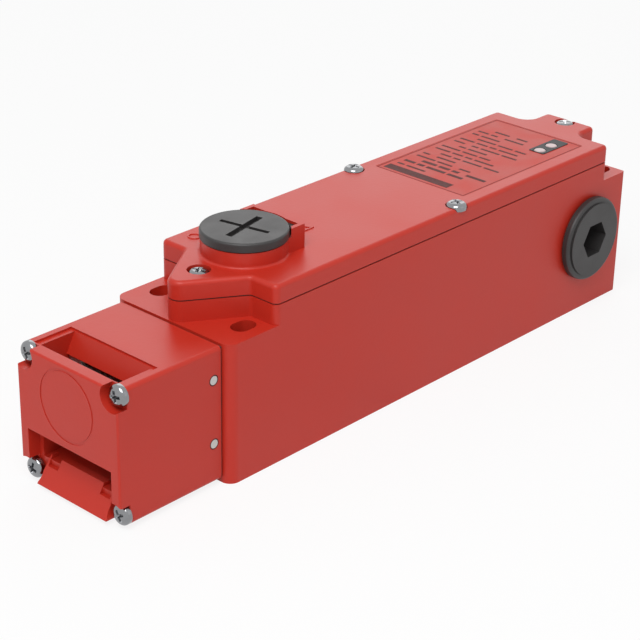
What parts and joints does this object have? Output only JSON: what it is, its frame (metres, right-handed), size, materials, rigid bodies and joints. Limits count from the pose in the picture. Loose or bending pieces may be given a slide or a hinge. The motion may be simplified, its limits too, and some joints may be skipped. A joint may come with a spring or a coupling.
{
  "type": "tongue interlock switch",
  "caption": "Metal guard-locking safety switch: long box with lid, square operating head with tongue slots, solenoid lock and rotary release disc.",
  "frame": {"origin": "centre of the four fixing slots, on the mounting face", "axes": "+X from the operating head to the far end, +Z away from the mounting face"},
  "size_m": [0.205, 0.049, 0.058],
  "materials": {
    "red_paint": "satin red powder coat",
    "label_foil": "satin foil",
    "black_rubber": "matt",
    "plated_steel": "zinc plated",
    "spring_steel": "drawn wire",
    "bare_steel": "turned",
    "cast_rotor": "sintered",
    "cast_cage": "die cast",
    "brass": "satin",
    "copper_wire": "enamelled",
    "pale_plastic": "matt",
    "black_plastic": "satin",
    "black_gloss": "gloss",
    "clear_lens": "pale lens",
    "board_green": "lacquered"
  },
  "bodies": {
    "root": {"body_housing": "red_paint", "cover": "red_paint", "cover_gasket": "black_rubber", "cover_screws": "plated_steel", "head_housing": "red_paint", "head_gasket": "black_rubber", "head_screws": "plated_steel", "head_cross_pins": "bare_steel", "rotor_axle": "bare_steel", "rotor_cage": "cast_cage", "plunger_bush": "brass", "plunger_spring": "spring_steel", "lock_bracket": "bare_steel", "solenoid_frame": "bare_steel", "solenoid_bobbin": "pale_plastic", "solenoid_winding": "copper_wire", "solenoid_core": "bare_steel", "armature_spring": "spring_steel", "contact_block_a": "pale_plastic", "contact_block_b": "pale_plastic", "fixed_contacts_a": "brass", "fixed_contacts_b": "brass", "terminal_screws_a": "plated_steel", "terminal_screws_b": "plated_steel", "release_stops": "black_plastic", "entry_plugs": "black_plastic", "entry_seals": "black_rubber", "earth_screw": "plated_steel", "led_board": "board_green", "led_lenses": "clear_lens", "led_window": "black_gloss", "label_plate": "label_foil"},
    "rotor": {"rotor": "cast_rotor"},
    "plunger": {"plunger_rod": "bare_steel", "contact_carrier_a": "black_plastic", "contact_bridges_a": "brass"},
    "lock_slide": {"lock_slide": "bare_steel", "armature": "bare_steel", "contact_carrier_b": "black_plastic", "contact_bridges_b": "brass"},
    "lock_pin": {"lock_pin": "bare_steel", "lock_follower": "bare_steel"},
    "release_disc": {"release_disc": "black_plastic", "release_shaft": "brass", "release_seal": "black_rubber", "release_clip": "plated_steel"}
  },
  "joints": [
    {"name": "rotor_turn", "type": "hinge", "parent": "root", "child": "rotor", "pos_m": [-0.10575, 0, 0.02175], "axis": [0, -1, 0], "range_deg": [0, 60]},
    {"name": "plunger_slide", "type": "slide", "parent": "root", "child": "plunger", "axis": [1, 0, 0], "range_m": [-0.005, 0], "deforming": ["plunger_spring"]},
    {"name": "armature_slide", "type": "slide", "parent": "root", "child": "lock_slide", "axis": [1, 0, 0], "range_m": [0, 0.003], "stiffness_N_per_m": 300, "springref_m": -0.002, "deforming": ["armature_spring"]},
    {"name": "lock_pin_slide", "type": "slide", "parent": "root", "child": "lock_pin", "axis": [0, 0, 1], "range_m": [-0.003, 0]},
    {"name": "release_turn", "type": "hinge", "parent": "root", "child": "release_disc", "pos_m": [-0.06185, 0, 0.0553], "axis": [0, 0, 1], "range_deg": [0, 90]}
  ],
  "couplings": [
    {"joint": "rotor_turn", "follows": "plunger_slide", "rad_per_m": -209.44},
    {"joint": "lock_pin_slide", "follows": "armature_slide", "ratio": -1}
  ]
}
